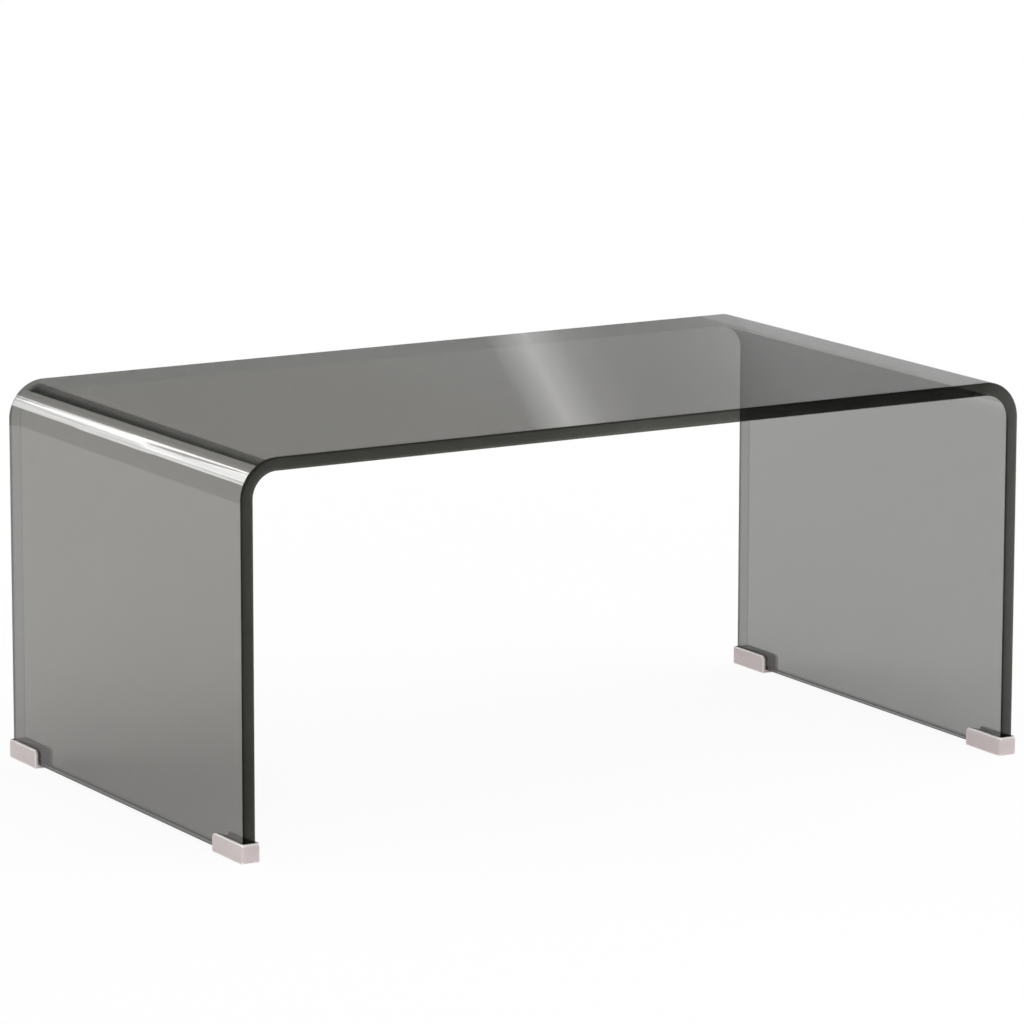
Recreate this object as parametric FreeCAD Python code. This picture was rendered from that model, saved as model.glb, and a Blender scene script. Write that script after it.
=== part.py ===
import FreeCAD
import Part
import os

# Waterfall coffee table: a bent sheet of smoked glass that stands on soft caps pressed over its bottom corners.
# Millimetres. X runs along the table, Y from front to back and Z up.
# The origin is on the floor, under the middle of the table.

# Glass sheet
glass_length = 800.0
glass_depth = 450.0
table_height = 350.0
glass_thickness = 12.0
bend_inner_radius = 23.0
safety_corner_radius = 4.0
edge_arris = 1.2

# Foot cap
cap_wall = 3.0
cap_floor = 3.0
cap_height = 17.0
cap_cover_length = 52.0
cap_end_radius = 3.0
cap_mouth_radius = 5.0
cap_edge_radius = 0.8
cap_clearance = 0.1

# How far a cut runs past the face that it opens
cut_overrun = 5.0

# Two places this close count as one place
same_place = 0.001

# Two faces meet at a sharp edge when the cosine between their normals is under this share
sharp_cosine_share = 0.5


def sharp_edges(solid):
    """The edges where two faces of a solid meet at an angle, without the smooth ones."""
    found = []
    for edge in solid.Edges:
        middle = edge.valueAt((edge.FirstParameter + edge.LastParameter) / 2)
        normals = []
        for face in solid.ancestorsOfType(edge, Part.Face):
            normals.append(face.normalAt(*face.Surface.parameter(middle)))
        if normals[0].dot(normals[-1]) < sharp_cosine_share:
            found.append(edge)
    return found


def edges_at(solid, **place):
    """The straight edges whose ends all lie at the given x, y or z."""
    found = []
    for edge in solid.Edges:
        ends = [vertex.Point for vertex in edge.Vertexes]
        if all(abs(getattr(end, axis) - value) < same_place for end in ends for axis, value in place.items()):
            found.append(edge)
    return found


def bent_glass_sheet():
    """Top and legs as one profile with round bends, drawn at the front edge and run through the depth."""
    bend_outer_radius = bend_inner_radius + glass_thickness
    half_length = glass_length / 2
    front = -glass_depth / 2
    bend_x = half_length - bend_outer_radius
    bend_z = table_height - bend_outer_radius
    diagonal_share = 0.5 ** 0.5

    def point(x, z):
        return FreeCAD.Vector(x, front, z)

    def bend(side, radius, start, end):
        middle = point(side * (bend_x + radius * diagonal_share), bend_z + radius * diagonal_share)
        return Part.Arc(start, middle, end).toShape()

    def skin(half, top, radius):
        """One face of the sheet from the left foot over the top to the right foot."""
        left_foot = point(-half, cap_floor)
        left_bend_start = point(-half, bend_z)
        left_bend_end = point(-bend_x, top)
        right_bend_start = point(bend_x, top)
        right_bend_end = point(half, bend_z)
        right_foot = point(half, cap_floor)
        return [
            Part.LineSegment(left_foot, left_bend_start).toShape(),
            bend(-1, radius, left_bend_start, left_bend_end),
            Part.LineSegment(left_bend_end, right_bend_start).toShape(),
            bend(1, radius, right_bend_start, right_bend_end),
            Part.LineSegment(right_bend_end, right_foot).toShape(),
        ]

    inner_half = half_length - glass_thickness
    outer = skin(half_length, table_height, bend_outer_radius)
    inner = skin(inner_half, table_height - glass_thickness, bend_inner_radius)
    left_end = Part.LineSegment(point(-half_length, cap_floor), point(-inner_half, cap_floor)).toShape()
    right_end = Part.LineSegment(point(half_length, cap_floor), point(inner_half, cap_floor)).toShape()
    outline = Part.Wire(Part.__sortEdges__(outer + inner + [left_end, right_end]))
    sheet = Part.Face(outline).extrude(FreeCAD.Vector(0, glass_depth, 0))

    corners = edges_at(sheet, y=front, z=cap_floor) + edges_at(sheet, y=-front, z=cap_floor)
    sheet = sheet.makeFillet(safety_corner_radius, corners)
    return sheet.makeChamfer(edge_arris, sharp_edges(sheet))


def foot_cap():
    """A boot with one closed end. The glass end face is at y 0, the glass runs towards +Y, x 0 is mid-glass."""
    half_slot = glass_thickness / 2 + cap_clearance
    half_width = half_slot + cap_wall
    closed_end = -cap_clearance - cap_wall
    length = cap_cover_length - closed_end
    corner = FreeCAD.Vector(-half_width, closed_end, 0)
    block = Part.makeBox(2 * half_width, length, cap_height, corner)

    upright = edges_at(block, x=-half_width, y=closed_end) + edges_at(block, x=half_width, y=closed_end)
    block = block.makeFillet(cap_end_radius, upright)
    block = block.makeFillet(cap_mouth_radius, edges_at(block, y=cap_cover_length, z=cap_height))
    block = block.makeFillet(cap_edge_radius, sharp_edges(block))

    slot_length = cap_cover_length + cap_clearance + cut_overrun
    slot_height = cap_height - cap_floor + cut_overrun
    slot = Part.makeBox(2 * half_slot, slot_length, slot_height, FreeCAD.Vector(-half_slot, -cap_clearance, cap_floor))
    return block.cut(slot)


def placed_cap(side, end):
    """The cap on the left (-1) or right (1) leg, at the front (-1) or back (1) end."""
    up = FreeCAD.Vector(0, 0, 1)
    half_turn = 180 if end > 0 else 0
    place = FreeCAD.Vector(side * (glass_length - glass_thickness) / 2, end * glass_depth / 2, 0)
    cap = foot_cap()
    cap.Placement = FreeCAD.Placement(place, FreeCAD.Rotation(up, half_turn))
    return cap


def main():
    nodes = {"bent_glass_sheet": bent_glass_sheet()}
    for end_name, end in (("front", -1), ("back", 1)):
        for side_name, side in (("left", -1), ("right", 1)):
            nodes[f"foot_cap_{end_name}_{side_name}"] = placed_cap(side, end)

    os.makedirs("parts", exist_ok=True)
    for name, shape in nodes.items():
        shape.exportStep(f"parts/{name}.step")
        box = shape.optimalBoundingBox(False, False)
        size = f"{box.XLength:.1f} x {box.YLength:.1f} x {box.ZLength:.1f} mm"
        print(f"{name}: {size}, {len(shape.Solids)} solid, valid {shape.isValid()}, {shape.Volume:.1f} mm3")


main()
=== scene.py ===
import math

import bmesh
import bpy
from mathutils import Matrix, Vector


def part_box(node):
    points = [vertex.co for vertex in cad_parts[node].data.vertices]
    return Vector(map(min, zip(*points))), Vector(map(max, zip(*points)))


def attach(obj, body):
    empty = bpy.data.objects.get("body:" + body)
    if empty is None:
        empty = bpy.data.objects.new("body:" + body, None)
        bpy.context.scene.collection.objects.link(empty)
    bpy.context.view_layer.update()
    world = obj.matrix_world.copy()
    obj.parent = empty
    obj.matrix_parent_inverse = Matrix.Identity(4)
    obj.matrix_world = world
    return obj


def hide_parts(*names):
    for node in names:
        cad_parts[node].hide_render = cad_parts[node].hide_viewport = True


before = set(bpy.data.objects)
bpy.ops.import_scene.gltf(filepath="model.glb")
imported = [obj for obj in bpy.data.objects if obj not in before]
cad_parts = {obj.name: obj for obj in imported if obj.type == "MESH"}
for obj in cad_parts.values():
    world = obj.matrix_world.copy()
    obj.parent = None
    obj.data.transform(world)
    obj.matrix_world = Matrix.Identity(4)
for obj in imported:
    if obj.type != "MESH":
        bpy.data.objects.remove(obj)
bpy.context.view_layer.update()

# Waterfall coffee table of smoked glass on soft corner caps.
# Metres. X runs along the table, Y from front to back and Z up.

# Two places this close count as one place
same_place = 0.00001

# Faces that meet at less than this angle are shaded as one smooth face
smooth_angle = math.radians(30)

# Bent glass sheet
glass_low, glass_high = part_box("bent_glass_sheet")
glass_length = glass_high.x - glass_low.x
glass_depth = glass_high.y - glass_low.y
glass_thickness = 0.012
bend_inner_radius = 0.023
safety_corner_radius = 0.004
edge_arris = 0.0012
bend_steps = 48
corner_steps = 6
flat_margin = 0.002

# Of the eight strips round the flat blank, these two are the polished faces and the rest are ground edges
face_strips = (1, 5)

# Foot caps
cap_low, cap_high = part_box("foot_cap_front_left")
cap_height = cap_high.z - cap_low.z
cap_wall = 0.003
cap_floor = 0.00295
cap_end_radius = 0.003
cap_mouth_radius = 0.005
cap_edge_radius = 0.0007
cap_round_steps = 8
cap_edge_steps = 3
cap_flat_angle = math.radians(1)
cap_sharp_angle = math.radians(40)

# Camera, fitted to the table's edges in the photograph
camera_azimuth = math.radians(-30.516)
camera_pitch = math.radians(11.157)
camera_roll = math.radians(0.103)
camera_distance = 5.354409
camera_aim_right = -0.001612
camera_aim_up = 0.052266
camera_focal_pixels = 5858.254
camera_sensor_mm = 36
camera_reach = 100
picture_pixels = 1024

# Smoked glass. A tint is what is left of white light that goes in and out through two such faces.
smoke_cloud_scale = 5
polish_roughness = 0.02
polish_ior = 1.5
edge_polish = 0.03
face_tints = ((0.238, 0.242, 0.221), (0.242, 0.226, 0.214))
# Painted light: the glass is painted paler towards the right end, for the lighter light seen through it
# there.
painted_light_tint_right = (0.277, 0.277, 0.271)
painted_light_right_reach = (-0.3, 0.45)
# Painted shade: a dark band on the outside of each bend, from its upper part down, where real bent glass
# shows a dark line. It fades out near the back end.
painted_bend_shade_tint = (0.0022, 0.0036, 0.0030)
painted_bend_shade_stops = ((0.18, 0), (0.20, 0.78), (0.27, 0.8), (0.34, 0.97), (0.395, 1), (0.45, 1))
painted_bend_shade_slant = 0.048
painted_bend_shade_lower = (0.42, 0.393)
painted_bend_shade_fade = (0.492, 0.455)

# Ground edges from outside the sheet are painted dark, as painted shade: stops run from the dark side of the
# edge to its pale side, which is painted light.
# The painted paling stops run along the table, and the left leg's edge is painted paler towards the floor.
edge_shade_tints_outside = ((0.0021, 0.0022, 0.0017), (0.042, 0.0435, 0.0355))
edge_shade_stops_outside = (
    (0.04, 0), (0.09, 0.02), (0.15, 0.18), (0.75, 0.31), (0.85, 0.65), (0.95, 1), (0.99, 0.6),
)
edge_painted_paling = 2.2
edge_painted_paling_stops = (
    (0.02, 0.34), (0.37, 0.44), (0.44, 0.7), (0.5, 1), (0.62, 0.95),
    (0.635, 0.22), (0.75, 0.16), (0.95, 0.14), (0.98, 0.6), (0.99, 0.85),
)
edge_low_painted_paling = 1.3
edge_low_painted_paling_reach = (0.55, 0.25)

# Ground edges seen through the glass, with painted dark lines of shade: stops run across the legs from right
# to left
edge_shade_tints_inside = ((0.035, 0.036, 0.034), (0.195, 0.197, 0.188))
edge_shade_stops_inside = (
    (0.02, 0.75), (0.07, 0.85), (0.12, 1), (0.65, 1), (0.68, 0.75),
    (0.71, 1), (0.74, 1), (0.78, 0), (0.98, 0),
)
# Painted shade: a dark line along the foot end of each leg, seen through the glass
foot_shade_line_tint = (0.002, 0.0021, 0.002)
foot_shade_line_place = 0.28
foot_shade_line_reach = (0.18, 0.11)

# Cap plastic, with painted highlights on its rims. The rim stops are shares of the cap's height.
cap_tints = ((0.50, 0.442, 0.437), (0.47, 0.418, 0.414))
cap_rim_highlight_tint = (0.82, 0.79, 0.78)
cap_edge_rim_highlight = 0.6
cap_rim_highlight_stops = ((0.01, 0.35), (0.05, 0.25), (0.1, 0), (0.93, 0), (0.97, 0.8), (0.99, 0.8))
cap_cloud_scale = 60
cap_grain_scale = 900
cap_grain_height = 0.0001
cap_roughness = (0.32, 0.52)
cap_translucency = 0.8
cap_light_reach = 0.007
cap_light_colour = (1, 0.95, 0.95)

# Floor. The glows are its share of plain white to the camera, in the polish and through the glass.
floor_half_width = 12
floor_drop = 0.0002
floor_grey = 0.95
floor_roughness = 0.9
floor_glow_seen = 0.92
floor_glow_mirrored = 0.9
floor_glow_through_glass = 0.1

# Round wall. Tones are given by azimuth, in degrees from the back towards the right, and its streaks lean.
wall_radius = 2.1
wall_height = 3.0
wall_segments = 96
wall_lean = math.radians(14)
wall_lean_start = 0.663
wall_tones = {
    -180: 0.05, -6: 0.05, -3.5: 0.15, 10: 0.17, 21: 0.18, 29.9: 0.19, 30.35: 0.42,
    30.75: 0.72, 31.1: 0.66, 31.6: 0.44, 32.4: 0.28, 33.2: 0.20, 36: 0.19, 38.5: 0.30, 40: 0.37, 42: 0.36,
    43.5: 0.36, 46: 0.42, 50: 0.46, 90: 0.45, 180: 0.45,
}

# Upright grey part of the wall on the left
left_wall_tones = {-179: 0.45, -60: 0.49, -24.2: 0.49, -21.2: 0, 179: 0}

# The rest of the wall repeats a streak at even steps: degrees from the streak, and tone
streak_repeats = 8
streak_tones = {
    -22: 0.40, -9: 0.17, -0.6: 0.19, -0.2: 0.42, 0.2: 0.72, 0.55: 0.66, 1.05: 0.44, 1.85: 0.30, 2.65: 0.25,
    7: 0.25, 13: 0.36, 22: 0.40,
}
rest_of_wall = {-180: 1, -75: 1, -60: 0, 55: 0, 70: 1, 180: 1}

# Low grey boards, mirrored in the upper part of the left leg and in the right end of the top:
# place along the table, front and back end, height and tone
low_boards = (
    (-1.145, 0.7, 2.4, 0.5, 0.49),
    (0.9, 0.3, 1.7, 0.52, 0.45),
)
board_soft_end = 0.3

# Sky
sky_light = 0.3
sky_grey = 0.08
sky_grey_heights = (0.07, 0.16)

# Soft suns: direction that the light comes from, strength and width
soft_suns = {
    "sun_above": (Vector((0.3, -0.45, 1)), 1.62, math.radians(75)),
    "sun_front": (Vector((-0.42, -0.9, 0.14)), 2.1, math.radians(40)),
    "sun_left": (Vector((-0.75, 0.65, 0.1)), 2.2, math.radians(40)),
    "sun_right": (Vector((0.85, 0.4, 0.1)), 1.8, math.radians(40)),
}

# Lamp strips close beside the bends. The tilt is up from level and the distance is from the bend's axis.
left_lamp = {
    "name": "left_lamp", "side": -1, "tilt": math.radians(43), "distance": 0.07, "width": 0.06,
    "strength": 1,
}
right_lamp = {
    "name": "right_lamp", "side": 1, "tilt": math.radians(21), "distance": 0.0465, "width": 0.018,
    "strength": 1.8,
}
lamp_length = 0.7
lamp_soft_across = 0.0075
lamp_soft_depth = 0.02
lamp_ripple = 3.0
lamp_ripple_scale = 0.5
lamp_ripple_detail = 3
lamp_ripples_along = 5
lamp_ripples_across = 33

# Streaks of the lamps, as the camera sees them in the left bend: front and back end as shares of the glass
# depth, turns from the leg in degrees at the front and at the back, and glow
lamp_body = (-0.65, 0.65, (22.1, 42.7), (22.3, 38.0), 4.4)
lamp_streaks = (
    (-0.12, 0.20, (21.3, 22.6), (20.9, 22.6), 3.0),
    (-0.65, -0.02, (41.7, 43.0), (35.9, 39.9), 3.0),
    (-0.09, 0.46, (30.2, 39.4), (33.5, 34.4), 3.3),
    (-0.65, -0.08, (27.0, 40.0), (26.5, 33.0), 2.0),
    (-0.24, -0.05, (27.6, 29.4), (27.4, 29.6), 1.2),
    (-0.25, -0.06, (33.6, 37.7), (34.6, 34.9), -3.3),
    (-0.46, -0.25, (38.5, 39.5), (33.6, 37.7), -3.3),
    (-0.65, -0.19, (24.4, 26.8), (25.3, 26.2), -1.6),
    (0.34, 0.65, (36.2, 36.6), (34.6, 37.9), -3.8),
    (0.17, 0.65, (28.4, 29.4), (32.0, 34.6), -1.9),
)


class Field:
    """A value in a node tree: sums and functions of it add Math nodes to the tree."""

    def __init__(self, tree, socket):
        self.tree = tree
        self.socket = socket

    def math(self, operation, *others):
        node = self.tree.nodes.new("ShaderNodeMath")
        node.operation = operation
        for slot, value in zip(node.inputs, (self, *others)):
            connect(self.tree, value, slot)
        return Field(self.tree, node.outputs[0])

    def __add__(self, other):
        return self.math("ADD", other)

    def __sub__(self, other):
        return self.math("SUBTRACT", other)

    def __mul__(self, other):
        return self.math("MULTIPLY", other)

    def __truediv__(self, other):
        return self.math("DIVIDE", other)

    def soft_step(self, start, end):
        """0 before the start, 1 past the end and smooth between. The start may be the larger of the two."""
        node = self.tree.nodes.new("ShaderNodeMapRange")
        node.interpolation_type = "SMOOTHSTEP"
        for name, value in (("Value", self), ("From Min", start), ("From Max", end)):
            connect(self.tree, value, node.inputs[name])
        return Field(self.tree, node.outputs[0])


def connect(tree, value, slot):
    """Links a field to a socket, or sets the socket to a plain value."""
    if isinstance(value, Field):
        tree.links.new(value.socket, slot)
    else:
        slot.default_value = value


def add_object(name, mesh):
    piece = bpy.data.objects.new(name, mesh)
    bpy.context.scene.collection.objects.link(piece)
    return piece


def blank_ring(end, angle):
    """Eight points round the flat blank near one end, at an angle round its corner from the end face."""
    half_depth = glass_depth / 2 - safety_corner_radius
    half_core = glass_thickness / 2 - edge_arris
    skin_radius = safety_corner_radius - edge_arris
    core_u = end - safety_corner_radius * (1 - math.cos(angle))
    core_v = half_depth + safety_corner_radius * math.sin(angle)
    skin_u = end - edge_arris - skin_radius * (1 - math.cos(angle))
    skin_v = half_depth + skin_radius * math.sin(angle)
    half_skin = glass_thickness / 2
    return [
        (core_u, core_v, half_core),
        (skin_u, skin_v, half_skin),
        (skin_u, -skin_v, half_skin),
        (core_u, -core_v, half_core),
        (core_u, -core_v, -half_core),
        (skin_u, -skin_v, -half_skin),
        (skin_u, skin_v, -half_skin),
        (core_u, core_v, -half_core),
    ]


def flat_glass_blank(flat_half, bend_run, leg_run):
    """The sheet before bending, with ground edges: x runs along it, y across it and z through it."""
    end = flat_half + bend_run + leg_run
    quarter = math.pi / 2
    straight = [flat_half - flat_margin]
    straight += [flat_half + bend_run * step / bend_steps for step in range(bend_steps + 1)]
    straight.append(flat_half + bend_run + flat_margin)
    half = [blank_ring(place + safety_corner_radius, quarter) for place in straight]
    half += [blank_ring(end, quarter * (1 - step / corner_steps)) for step in range(corner_steps + 1)]
    mirrored = [[(-u, v, w) for u, v, w in ring] for ring in reversed(half)]

    blank = bmesh.new()
    marks = {name: blank.faces.layers.float.new(name) for name in ("ground_edge", "foot_end")}

    def add_face(corners, *names):
        face = blank.faces.new(corners)
        for name in names:
            face[marks[name]] = 1

    rings = [[blank.verts.new(point) for point in ring] for ring in mirrored + half]
    count = len(rings[0])
    for ring, following in zip(rings, rings[1:]):
        for k in range(count):
            m = (k + 1) % count
            corners = (ring[k], ring[m], following[m], following[k])
            if k in face_strips:
                add_face(corners)
            else:
                add_face(corners, "ground_edge")
    for ring in (rings[0], rings[-1]):
        add_face((ring[0], ring[3], ring[4], ring[7]), "ground_edge", "foot_end")
        add_face(ring[0:4], "ground_edge")
        add_face(ring[4:8], "ground_edge")
    bmesh.ops.recalc_face_normals(blank, faces=blank.faces)
    mesh = bpy.data.meshes.new("bent_glass_sheet_blank")
    blank.to_mesh(mesh)
    blank.free()
    return mesh


def kiln_bend_tree():
    """Bends a flat blank down at both sides of its flat top: the neutral radius runs through mid-glass."""
    tree = bpy.data.node_groups.new("Kiln bend", "GeometryNodeTree")
    tree.interface.new_socket("Geometry", in_out="INPUT", socket_type="NodeSocketGeometry")
    sizes = ("Flat half", "Neutral radius", "Bend centre height", "Thickness")
    for name in sizes:
        tree.interface.new_socket(name, in_out="INPUT", socket_type="NodeSocketFloat")
    tree.interface.new_socket("Glass", in_out="INPUT", socket_type="NodeSocketMaterial")
    tree.interface.new_socket("Geometry", in_out="OUTPUT", socket_type="NodeSocketGeometry")
    given = tree.nodes.new("NodeGroupInput").outputs
    flat_half, neutral_radius, centre_height, thickness = (Field(tree, given[name]) for name in sizes)
    split = tree.nodes.new("ShaderNodeSeparateXYZ")
    tree.links.new(tree.nodes.new("GeometryNodeInputPosition").outputs[0], split.inputs[0])
    u, v, w = (Field(tree, socket) for socket in split.outputs)

    reach = u.math("ABSOLUTE")
    past_flat = (reach - flat_half).math("MAXIMUM", 0)
    angle = (past_flat / neutral_radius).math("MINIMUM", math.pi / 2)
    down_leg = (past_flat - neutral_radius * (math.pi / 2)).math("MAXIMUM", 0)
    radius = neutral_radius + w
    side = u.math("SIGN")
    across = angle.math("SINE")
    upright = angle.math("COSINE")
    x = side * (reach.math("MINIMUM", flat_half) + radius * across)
    z = centre_height + radius * upright - down_leg

    def keep(name, value):
        node = tree.nodes.new("GeometryNodeStoreNamedAttribute")
        node.inputs["Name"].default_value = name
        connect(tree, value, node.inputs["Value"])
        return node

    across_glass = w / thickness
    kept = (
        keep("bend_turn", angle / (math.pi / 2) * w.math("GREATER_THAN", 0)),
        keep("right_to_left", across_glass * side * across * -1 + 0.5),
        # The side of each edge that is painted paler
        keep("painted_pale_side", across_glass * (side * across - upright) + 0.5),
    )
    join = tree.nodes.new("ShaderNodeCombineXYZ")
    for value, slot in zip((x, v, z), join.inputs):
        connect(tree, value, slot)
    move = tree.nodes.new("GeometryNodeSetPosition")
    realize = tree.nodes.new("GeometryNodeRealizeInstances")
    finish = tree.nodes.new("GeometryNodeSetMaterial")
    out = tree.nodes.new("NodeGroupOutput")
    blank = given["Geometry"]
    for node in kept:
        tree.links.new(blank, node.inputs["Geometry"])
        blank = node.outputs[0]
    tree.links.new(blank, move.inputs["Geometry"])
    tree.links.new(join.outputs[0], move.inputs["Position"])
    tree.links.new(move.outputs[0], realize.inputs[0])
    tree.links.new(realize.outputs[0], finish.inputs["Geometry"])
    tree.links.new(given["Glass"], finish.inputs["Material"])
    tree.links.new(finish.outputs[0], out.inputs[0])
    return tree


def set_inputs(modifier, values):
    """Sets a Geometry Nodes modifier's inputs, given by name, through their identifiers."""
    for socket in modifier.node_group.interface.items_tree:
        if socket.in_out == "INPUT" and socket.name in values:
            modifier[socket.identifier] = values[socket.name]


def baked(piece):
    """The piece's evaluated mesh, with its modifiers taken off."""
    graph = bpy.context.evaluated_depsgraph_get()
    mesh = bpy.data.meshes.new_from_object(piece.evaluated_get(graph))
    piece.modifiers.clear()
    old = piece.data
    piece.data = mesh
    bpy.data.meshes.remove(old)
    mesh.name = piece.name
    return mesh


def smooth_faces(mesh):
    mesh.shade_smooth()
    mesh.set_sharp_from_angle(angle=smooth_angle)


def bent_glass_sheet(glass):
    outer_radius = bend_inner_radius + glass_thickness
    neutral_radius = bend_inner_radius + glass_thickness / 2
    flat_half = glass_length / 2 - outer_radius
    centre_height = glass_high.z - outer_radius
    leg_run = centre_height - glass_low.z
    mesh = flat_glass_blank(flat_half, neutral_radius * math.pi / 2, leg_run)
    piece = add_object("bent_glass", mesh)
    modifier = piece.modifiers.new("Kiln bend", "NODES")
    modifier.node_group = kiln_bend_tree()
    set_inputs(modifier, {
        "Flat half": flat_half,
        "Neutral radius": neutral_radius,
        "Bend centre height": centre_height,
        "Thickness": glass_thickness,
        "Glass": glass,
    })
    smooth_faces(baked(piece))
    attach(piece, "root")
    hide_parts("bent_glass_sheet")
    return piece


def edges_where(boot, test):
    return [edge for edge in boot.edges if all(test(vert.co) for vert in edge.verts)]


def foot_cap_mesh(width, length, height):
    """A boot with one closed end, which is at y 0. The glass runs towards +Y, and x 0 is mid-glass."""
    half = width / 2
    slot_half = half - cap_wall
    section = [
        (-half, 0), (half, 0), (half, height), (slot_half, height),
        (slot_half, cap_floor), (-slot_half, cap_floor), (-slot_half, height), (-half, height),
    ]
    boot = bmesh.new()
    rim_highlight = boot.faces.layers.float.new("rim_highlight")
    mouth = [boot.verts.new((x, length, z)) for x, z in section]
    inner = [boot.verts.new((x, cap_wall, z)) for x, z in section]
    back = [boot.verts.new((x, 0, z)) for x, z in section[:3] + section[7:]]
    boot.faces.new((mouth[0], mouth[1], mouth[4], mouth[5]))
    boot.faces.new((mouth[1], mouth[2], mouth[3], mouth[4]))
    boot.faces.new((mouth[5], mouth[6], mouth[7], mouth[0]))
    for k in (2, 3, 4, 5, 6):
        boot.faces.new((mouth[k], mouth[k + 1], inner[k + 1], inner[k]))
    for k in (0, 1, 7):
        m = (k + 1) % 8
        boot.faces.new((mouth[k], mouth[m], inner[m], inner[k]))
    boot.faces.new((inner[3], inner[4], inner[5], inner[6]))
    boot.faces.new((inner[0], inner[1], back[1], back[0]))
    boot.faces.new((inner[1], inner[2], back[2], back[1]))
    boot.faces.new((inner[7], inner[0], back[0], back[3]))
    boot.faces.new((back[3], back[2], inner[2], inner[3], inner[6], inner[7]))
    boot.faces.new(back)
    bmesh.ops.recalc_face_normals(boot, faces=boot.faces)
    bmesh.ops.dissolve_limit(
        boot, angle_limit=cap_flat_angle, verts=boot.verts, edges=boot.edges, use_dissolve_boundaries=False)

    def bevel(edges, radius, steps):
        made = bmesh.ops.bevel(
            boot, geom=edges, offset=radius, segments=steps, profile=0.5, affect="EDGES",
            clamp_overlap=True)
        return made["faces"]

    upright = edges_where(boot, lambda co: co.y < same_place and abs(co.x) > half - same_place)
    bevel(upright, cap_end_radius, cap_round_steps)
    mouth_top = edges_where(boot, lambda co: co.y > length - same_place and co.z > height - same_place)
    bevel(mouth_top, cap_mouth_radius, cap_round_steps)
    sharp = [edge for edge in boot.edges if edge.calc_face_angle(0) > cap_sharp_angle]
    # These rounded edges get a painted rim highlight
    for face in bevel(sharp, cap_edge_radius, cap_edge_steps):
        face[rim_highlight] = 1
    bmesh.ops.recalc_face_normals(boot, faces=boot.faces)
    mesh = bpy.data.meshes.new("foot_cap")
    boot.to_mesh(mesh)
    boot.free()
    return mesh


def foot_caps(plastic):
    """The same moulding on each bottom corner, turned half round for the two at the back."""
    for end_name, end in (("front", -1), ("back", 1)):
        for side_name, side in (("left", -1), ("right", 1)):
            node = f"foot_cap_{end_name}_{side_name}"
            low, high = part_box(node)
            mesh = foot_cap_mesh(high.x - low.x, high.y - low.y, high.z - low.z)
            turn = Matrix.Rotation(math.pi if end > 0 else 0, 4, "Z")
            place = Vector(((low.x + high.x) / 2, low.y if end < 0 else high.y, low.z))
            mesh.transform(Matrix.Translation(place) @ turn)
            mesh.materials.append(plastic)
            smooth_faces(mesh)
            piece = add_object(f"soft_cap_{end_name}_{side_name}", mesh)
            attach(piece, "root")
            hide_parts(node)


def new_material(name):
    material = bpy.data.materials.new(name)
    material.use_nodes = True
    tree = material.node_tree
    return material, tree, tree.nodes["Principled BSDF"], tree.nodes["Material Output"]


def attribute(tree, name):
    node = tree.nodes.new("ShaderNodeAttribute")
    node.attribute_name = name
    return Field(tree, node.outputs["Fac"])


def mix_colours(tree, share, first, second):
    """A colour between two, each of them a plain colour or an output socket."""
    node = tree.nodes.new("ShaderNodeMix")
    node.data_type = "RGBA"
    connect(tree, share, node.inputs["Factor"])
    for slot, colour in zip((node.inputs[6], node.inputs[7]), (first, second)):
        if isinstance(colour, tuple):
            slot.default_value = (*colour, 1)
        else:
            tree.links.new(colour, slot)
    return node.outputs[2]


def ramp(tree, value, stops):
    """A value read off a line through (place, tone) stops."""
    node = tree.nodes.new("ShaderNodeValToRGB")
    points = node.color_ramp.elements
    for place, tone in stops:
        point = points.new(place)
        point.color = (tone, tone, tone, 1)
    points.remove(points[0])
    points.remove(points[-1])
    connect(tree, value, node.inputs[0])
    return Field(tree, node.outputs["Color"])


def cloud(tree, scale):
    """A soft random value on object coordinates."""
    place = tree.nodes.new("ShaderNodeTexCoord")
    noise = tree.nodes.new("ShaderNodeTexNoise")
    noise.inputs["Scale"].default_value = scale
    noise.inputs["Detail"].default_value = 1
    tree.links.new(place.outputs["Object"], noise.inputs["Vector"])
    return Field(tree, noise.outputs[0])


def object_place(tree, axis):
    split = tree.nodes.new("ShaderNodeSeparateXYZ")
    tree.links.new(tree.nodes.new("ShaderNodeTexCoord").outputs["Object"], split.inputs[0])
    return Field(tree, split.outputs[axis])


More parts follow.
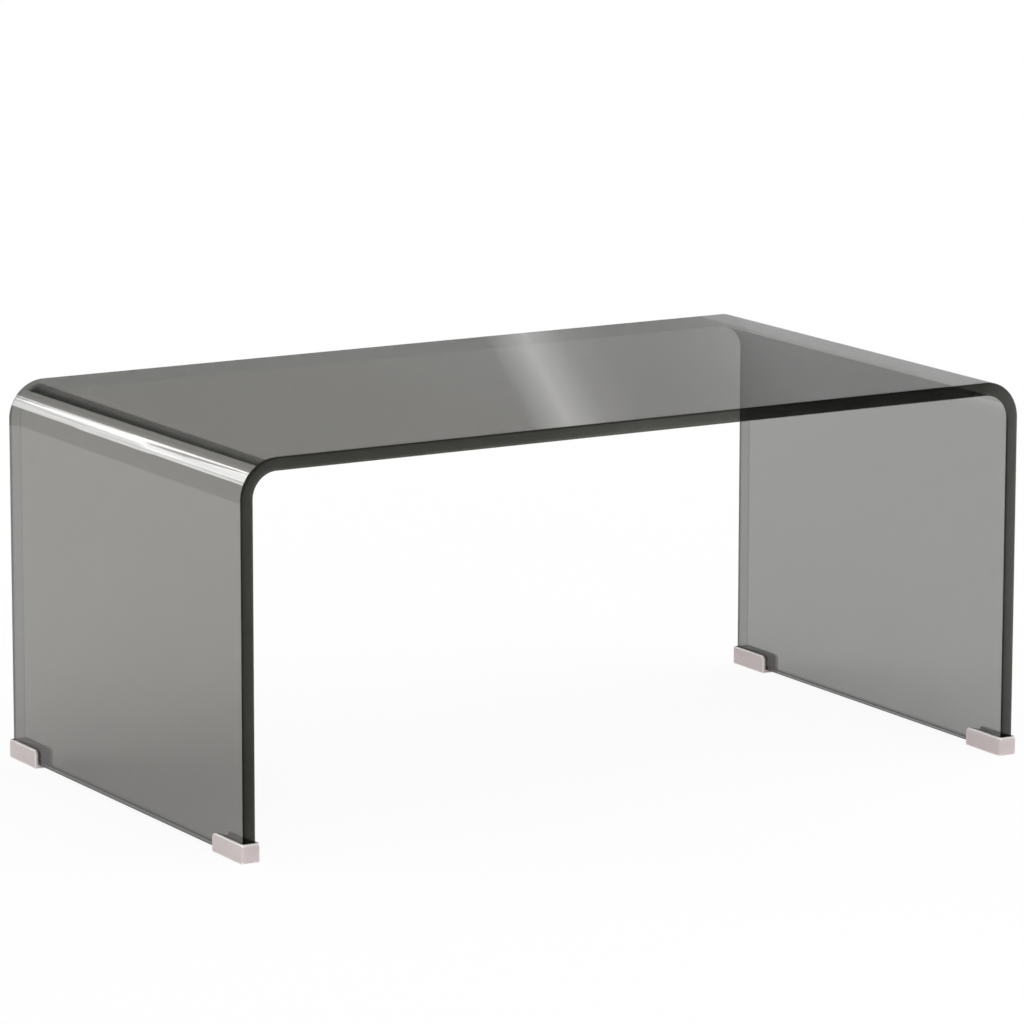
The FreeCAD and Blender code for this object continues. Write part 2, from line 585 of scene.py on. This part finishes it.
def smoked_glass():
    """Straight see-through smoked glass with a polished skin. Bends and ground edges carry painted shade and
    painted light.
    """
    material, tree, shader, out = new_material("smoked_glass")
    inside = Field(tree, tree.nodes.new("ShaderNodeNewGeometry").outputs["Backfacing"])
    outside = inside * -1 + 1
    edge = attribute(tree, "ground_edge")
    length_share = object_place(tree, "X") / glass_length
    depth_share = object_place(tree, "Y") / glass_depth
    smoke_and_painted_light = mix_colours(tree, cloud(tree, smoke_cloud_scale), *face_tints)
    # Painted light: paler glass towards the right end
    smoke_and_painted_light = mix_colours(tree, length_share.soft_step(*painted_light_right_reach), smoke_and_painted_light, painted_light_tint_right)

    # Painted shade along the bends, seen from outside only
    turned = attribute(tree, "bend_turn")
    painted_bend_shade = ramp(tree, turned, painted_bend_shade_stops) * depth_share.soft_step(*painted_bend_shade_fade)
    painted_bend_shade = painted_bend_shade * (turned - depth_share * painted_bend_shade_slant).soft_step(*painted_bend_shade_lower)
    tint = mix_colours(tree, painted_bend_shade * outside, smoke_and_painted_light, painted_bend_shade_tint)

    # Painted shade lines on the edges seen through the glass
    leftwards = attribute(tree, "right_to_left")
    foot_end = attribute(tree, "foot_end")
    foot_shade_line = (leftwards - foot_shade_line_place).math("ABSOLUTE").soft_step(*foot_shade_line_reach)
    inner_edge_shade = mix_colours(tree, ramp(tree, leftwards, edge_shade_stops_inside), *edge_shade_tints_inside)
    inner_edge_shade = mix_colours(tree, foot_end, inner_edge_shade, smoke_and_painted_light)
    inner_edge_shade = mix_colours(tree, foot_end * foot_shade_line, inner_edge_shade, foot_shade_line_tint)
    tint = mix_colours(tree, edge * inside, tint, inner_edge_shade)

    # Painted light: edges pale across their thickness, along the table, and on the left leg towards the floor
    painted_paling = ramp(tree, length_share + 0.5, edge_painted_paling_stops) * edge_painted_paling
    low_down = (object_place(tree, "Z") / glass_high.z).soft_step(*edge_low_painted_paling_reach)
    painted_paling = painted_paling * (low_down * (length_share * -1 + 0.5) * edge_low_painted_paling + 1)
    pale = ramp(tree, attribute(tree, "painted_pale_side"), edge_shade_stops_outside) * painted_paling
    tint = mix_colours(tree, edge * outside, tint, mix_colours(tree, pale, *edge_shade_tints_outside))
    tree.links.new(tint, shader.inputs["Base Color"])
    shader.inputs["Transmission Weight"].default_value = 1
    shader.inputs["Roughness"].default_value = 0
    shader.inputs["IOR"].default_value = 1
    connect(tree, (edge * (edge_polish - 1) + 1) * outside, shader.inputs["Coat Weight"])
    shader.inputs["Coat Roughness"].default_value = polish_roughness
    shader.inputs["Coat IOR"].default_value = polish_ior
    return material


def cap_plastic():
    """Soft satin moulding with painted highlights along its rims and its foot, and a fine grain."""
    material, tree, shader, out = new_material("cap_plastic")
    # Painted highlight: paler near the top and foot of each cap and on its rounded edges
    rim_highlight = ramp(tree, object_place(tree, "Z") / cap_height, cap_rim_highlight_stops)
    rim_highlight = rim_highlight.math("MAXIMUM", attribute(tree, "rim_highlight") * cap_edge_rim_highlight)
    tint = mix_colours(tree, cloud(tree, cap_cloud_scale), *cap_tints)
    tree.links.new(mix_colours(tree, rim_highlight, tint, cap_rim_highlight_tint), shader.inputs["Base Color"])
    grain = cloud(tree, cap_grain_scale)
    smoothest, roughest = cap_roughness
    connect(tree, grain * (roughest - smoothest) + smoothest, shader.inputs["Roughness"])
    bump = tree.nodes.new("ShaderNodeBump")
    bump.inputs["Distance"].default_value = cap_grain_height
    connect(tree, grain, bump.inputs["Height"])
    tree.links.new(bump.outputs[0], shader.inputs["Normal"])
    shader.inputs["Subsurface Weight"].default_value = cap_translucency
    shader.inputs["Subsurface Radius"].default_value = cap_light_colour
    shader.inputs["Subsurface Scale"].default_value = cap_light_reach
    return material


def ray_is(tree, kind):
    return Field(tree, tree.nodes.new("ShaderNodeLightPath").outputs[f"Is {kind} Ray"])


def white_floor():
    """White to the camera and in the polish, and shaded by the table where it is seen through the glass."""
    mesh = bpy.data.meshes.new("floor")
    signs = ((-1, -1), (1, -1), (1, 1), (-1, 1))
    corners = [(x * floor_half_width, y * floor_half_width, -floor_drop) for x, y in signs]
    mesh.from_pydata(corners, [], [(0, 1, 2, 3)])
    material, tree, shader, out = new_material("floor_white")
    shader.inputs["Base Color"].default_value = (floor_grey, floor_grey, floor_grey, 1)
    shader.inputs["Roughness"].default_value = floor_roughness
    white = tree.nodes.new("ShaderNodeEmission")
    mix = tree.nodes.new("ShaderNodeMixShader")
    mirrored = ray_is(tree, "Glossy") - ray_is(tree, "Transmission")
    share = (ray_is(tree, "Camera") * floor_glow_seen).math("MAXIMUM", mirrored * floor_glow_mirrored)
    share = share.math("MAXIMUM", ray_is(tree, "Transmission") * floor_glow_through_glass)
    connect(tree, share, mix.inputs[0])
    tree.links.new(shader.outputs[0], mix.inputs[1])
    tree.links.new(white.outputs[0], mix.inputs[2])
    tree.links.new(mix.outputs[0], out.inputs["Surface"])
    mesh.materials.append(material)
    add_object("floor", mesh)


def seen_in_polish_only(holder):
    holder.visible_camera = False
    holder.visible_diffuse = False
    holder.visible_transmission = False


def mirrored_only(card):
    """A piece of the stage that is seen only in the polish of the glass and throws no light or shadow."""
    seen_in_polish_only(card)
    card.visible_shadow = False


def round_the_wall(tree, place):
    """How far round the wall a place is, from 0 to 1."""
    turn = tree.nodes.new("ShaderNodeTexGradient")
    turn.gradient_type = "RADIAL"
    tree.links.new(place, turn.inputs[0])
    return Field(tree, turn.outputs["Fac"])


def wall_stops(tones):
    """Ramp stops for tones given by azimuth. The way round the wall starts at the left and runs backwards."""
    return sorted(((0.75 - degrees / 360) % 1, tone) for degrees, tone in tones.items())


def studio_wall():
    """A round grey wall with pale streaks, seen only in the polish of the glass."""
    wall = bmesh.new()
    bmesh.ops.create_cone(
        wall, cap_ends=False, segments=wall_segments, radius1=wall_radius, radius2=wall_radius,
        depth=wall_height)
    bmesh.ops.translate(wall, verts=wall.verts, vec=(0, 0, wall_height / 2 - floor_drop))
    mesh = bpy.data.meshes.new("studio_wall")
    wall.to_mesh(mesh)
    wall.free()

    material, tree, shader, out = new_material("wall_grey")
    place = tree.nodes.new("ShaderNodeTexCoord").outputs["Object"]
    height = object_place(tree, "Z")
    lean = tree.nodes.new("ShaderNodeVectorRotate")
    lean.rotation_type = "Z_AXIS"
    tree.links.new(place, lean.inputs["Vector"])
    connect(tree, (height - wall_lean_start) * wall_lean, lean.inputs["Angle"])
    leaning = round_the_wall(tree, lean.outputs[0])
    left = ramp(tree, round_the_wall(tree, place), wall_stops(left_wall_tones))
    tone = ramp(tree, leaning, wall_stops(wall_tones)).math("MAXIMUM", left)
    step = 360 / streak_repeats
    repeats = sorted((0.5 - degrees / step, streak_tone) for degrees, streak_tone in streak_tones.items())
    repeated = ramp(tree, (leaning * streak_repeats + 0.5).math("FRACT"), repeats)
    tone = tone + (repeated - tone) * ramp(tree, leaning, wall_stops(rest_of_wall))
    glow = tree.nodes.new("ShaderNodeEmission")
    connect(tree, tone, glow.inputs["Strength"])
    tree.links.new(glow.outputs[0], out.inputs["Surface"])
    mesh.materials.append(material)
    mirrored_only(add_object("studio_wall", mesh))


def low_board(x, front, back, height, tone):
    """A grey board that fades out at its ends, seen only in the polish of the glass."""
    mesh = bpy.data.meshes.new("low_board")
    corners = [(x, y, z) for y, z in ((front, 0), (back, 0), (back, height), (front, height))]
    mesh.from_pydata(corners, [], [(0, 1, 2, 3)])
    material, tree, shader, out = new_material("board_grey")
    glow = tree.nodes.new("ShaderNodeEmission")
    glow.inputs["Strength"].default_value = tone
    clear = tree.nodes.new("ShaderNodeBsdfTransparent")
    mix = tree.nodes.new("ShaderNodeMixShader")
    along = object_place(tree, "Y")
    solid = along.soft_step(front, front + board_soft_end) * along.soft_step(back, back - board_soft_end)
    connect(tree, solid, mix.inputs[0])
    tree.links.new(clear.outputs[0], mix.inputs[1])
    tree.links.new(glow.outputs[0], mix.inputs[2])
    tree.links.new(mix.outputs[0], out.inputs["Surface"])
    mesh.materials.append(material)
    mirrored_only(add_object("low_board", mesh))


def lamp_frame(lamp):
    """The axis of the bend that a lamp lights, and the directions across the lamp and away from the glass."""
    side = lamp["side"]
    tilt = lamp["tilt"]
    outer_radius = bend_inner_radius + glass_thickness
    axis = Vector((side * (glass_length / 2 - outer_radius), 0, glass_high.z - outer_radius))
    across = Vector((-side * math.sin(tilt), 0, math.cos(tilt)))
    away = Vector((side * math.cos(tilt), 0, math.sin(tilt)))
    return axis, across, away


def mirrored_on_left_lamp(eye, turn, depth):
    """The place across and along the left lamp that the eye sees in the left bend, by turn and depth."""
    axis, across, away = lamp_frame(left_lamp)
    middle = axis + away * left_lamp["distance"]
    normal = Vector((-math.cos(turn), 0, math.sin(turn)))
    point = axis + normal * (bend_inner_radius + glass_thickness) + Vector((0, depth, 0))
    ray = (point - eye).normalized().reflect(normal)
    place = point + ray * ((middle - point).dot(away) / ray.dot(away))
    return (place - middle).dot(across) / left_lamp["width"], place.y / glass_depth


def streak(across, depth, corners):
    """1 inside a long four-sided patch of a lamp and 0 outside it, with soft edges."""
    front_low, front_high, back_low, back_high = corners
    front = (front_low[1] + front_high[1]) / 2
    back = (back_low[1] + back_high[1]) / 2
    share = depth.soft_step(front - lamp_soft_depth, front + lamp_soft_depth)
    share = share * depth.soft_step(back + lamp_soft_depth, back - lamp_soft_depth)
    sides = ((front_low, back_low, lamp_soft_across), (front_high, back_high, -lamp_soft_across))
    for first, last, soft in sides:
        line = (depth - front) * ((last[0] - first[0]) / (back - front)) + first[0]
        share = share * (across - line).soft_step(-soft, soft)
    return share


def streaky_glow(tree, across, depth, eye):
    """Long bright and dim streaks, placed so that they lie along the left bend as the camera sees it."""
    grain = tree.nodes.new("ShaderNodeCombineXYZ")
    connect(tree, depth * lamp_ripples_along, grain.inputs["X"])
    connect(tree, across * lamp_ripples_across, grain.inputs["Y"])
    noise = tree.nodes.new("ShaderNodeTexNoise")
    noise.inputs["Scale"].default_value = lamp_ripple_scale
    noise.inputs["Detail"].default_value = lamp_ripple_detail
    tree.links.new(grain.outputs[0], noise.inputs["Vector"])
    ripple = (Field(tree, noise.outputs[0]) - 0.5) * (2 * lamp_ripple)

    def patch(front, back, front_turns, back_turns):
        ends = [(turn, front) for turn in front_turns] + [(turn, back) for turn in back_turns]
        corners = [mirrored_on_left_lamp(eye, math.radians(turn), end * glass_depth) for turn, end in ends]
        return streak(across, depth, corners)

    *body, body_glow = lamp_body
    glow = patch(*body) * (ripple + body_glow)
    for *place, added in lamp_streaks:
        glow = glow + patch(*place) * added
    return glow.math("MAXIMUM", 0)


def lamp_strip(lamp, eye):
    """A lamp close beside a bend, seen only in the polish of the glass, where it draws white streaks."""
    axis, across, away = lamp_frame(lamp)
    middle = axis + away * lamp["distance"]
    width = lamp["width"]
    light = bpy.data.lights.new(lamp["name"], "AREA")
    light.shape = "RECTANGLE"
    light.size = width
    light.size_y = lamp_length
    light.energy = math.pi * width * lamp_length * lamp["strength"]
    light.use_nodes = True
    tree = light.node_tree
    split = tree.nodes.new("ShaderNodeSeparateXYZ")
    tree.links.new(tree.nodes.new("ShaderNodeNewGeometry").outputs["Position"], split.inputs[0])
    x, y, z = (Field(tree, socket) for socket in split.outputs)
    across_share = ((x - middle.x) * across.x + (z - middle.z) * across.z) / width
    glow = streaky_glow(tree, across_share, y / glass_depth, eye)
    connect(tree, glow, tree.nodes["Emission"].inputs["Strength"])
    holder = add_object(lamp["name"], light)
    along = Vector((0, 1, 0))
    turn = Matrix((along.cross(away), along, away)).transposed().to_4x4()
    holder.matrix_world = Matrix.Translation(middle) @ turn
    seen_in_polish_only(holder)


def studio_light():
    """Even light from the sky, a soft sun above and three low ones."""
    for name, (comes_from, strength, width) in soft_suns.items():
        sun = bpy.data.lights.new(name, "SUN")
        sun.energy = strength
        sun.angle = width
        holder = add_object(name, sun)
        holder.rotation_euler = comes_from.to_track_quat("Z", "Y").to_euler()
        holder.visible_glossy = False

    world = bpy.data.worlds.new("studio")
    world.use_nodes = True
    tree = world.node_tree
    split = tree.nodes.new("ShaderNodeSeparateXYZ")
    tree.links.new(tree.nodes.new("ShaderNodeTexCoord").outputs["Generated"], split.inputs[0])
    above = Field(tree, split.outputs["Z"]).soft_step(*sky_grey_heights)
    seen = ray_is(tree, "Camera").math("MAXIMUM", ray_is(tree, "Glossy"))
    seen = seen.math("MAXIMUM", ray_is(tree, "Transmission"))
    sky = mix_colours(tree, seen, (sky_light,) * 3, (1, 1, 1))
    sky = mix_colours(tree, above * ray_is(tree, "Transmission"), sky, (sky_grey,) * 3)
    tree.links.new(sky, tree.nodes["Background"].inputs["Color"])
    bpy.context.scene.world = world


def photo_camera():
    """The camera looks at a point above the table's middle, from the photograph's side and height."""
    back = Vector((
        math.sin(camera_azimuth) * math.cos(camera_pitch),
        -math.cos(camera_azimuth) * math.cos(camera_pitch),
        math.sin(camera_pitch),
    ))
    level_right = (-back).cross(Vector((0, 0, 1))).normalized()
    level_up = level_right.cross(-back)
    right = level_right * math.cos(camera_roll) + level_up * math.sin(camera_roll)
    up = level_up * math.cos(camera_roll) - level_right * math.sin(camera_roll)
    aim = Vector((0, 0, glass_high.z / 2)) + right * camera_aim_right + up * camera_aim_up
    turn = Matrix((right, up, back)).transposed().to_4x4()
    camera = bpy.data.cameras.new("photo_camera")
    camera.sensor_width = camera_sensor_mm
    camera.lens = camera_sensor_mm * camera_focal_pixels / picture_pixels
    camera.clip_end = camera_reach
    holder = add_object("photo_camera", camera)
    eye = aim + back * camera_distance
    holder.matrix_world = Matrix.Translation(eye) @ turn
    bpy.context.scene.camera = holder
    return eye


bpy.context.scene.view_settings.view_transform = "Standard"
bent_glass_sheet(smoked_glass())
foot_caps(cap_plastic())
white_floor()
studio_wall()
for board in low_boards:
    low_board(*board)
studio_light()
eye = photo_camera()
for lamp in (left_lamp, right_lamp):
    lamp_strip(lamp, eye)
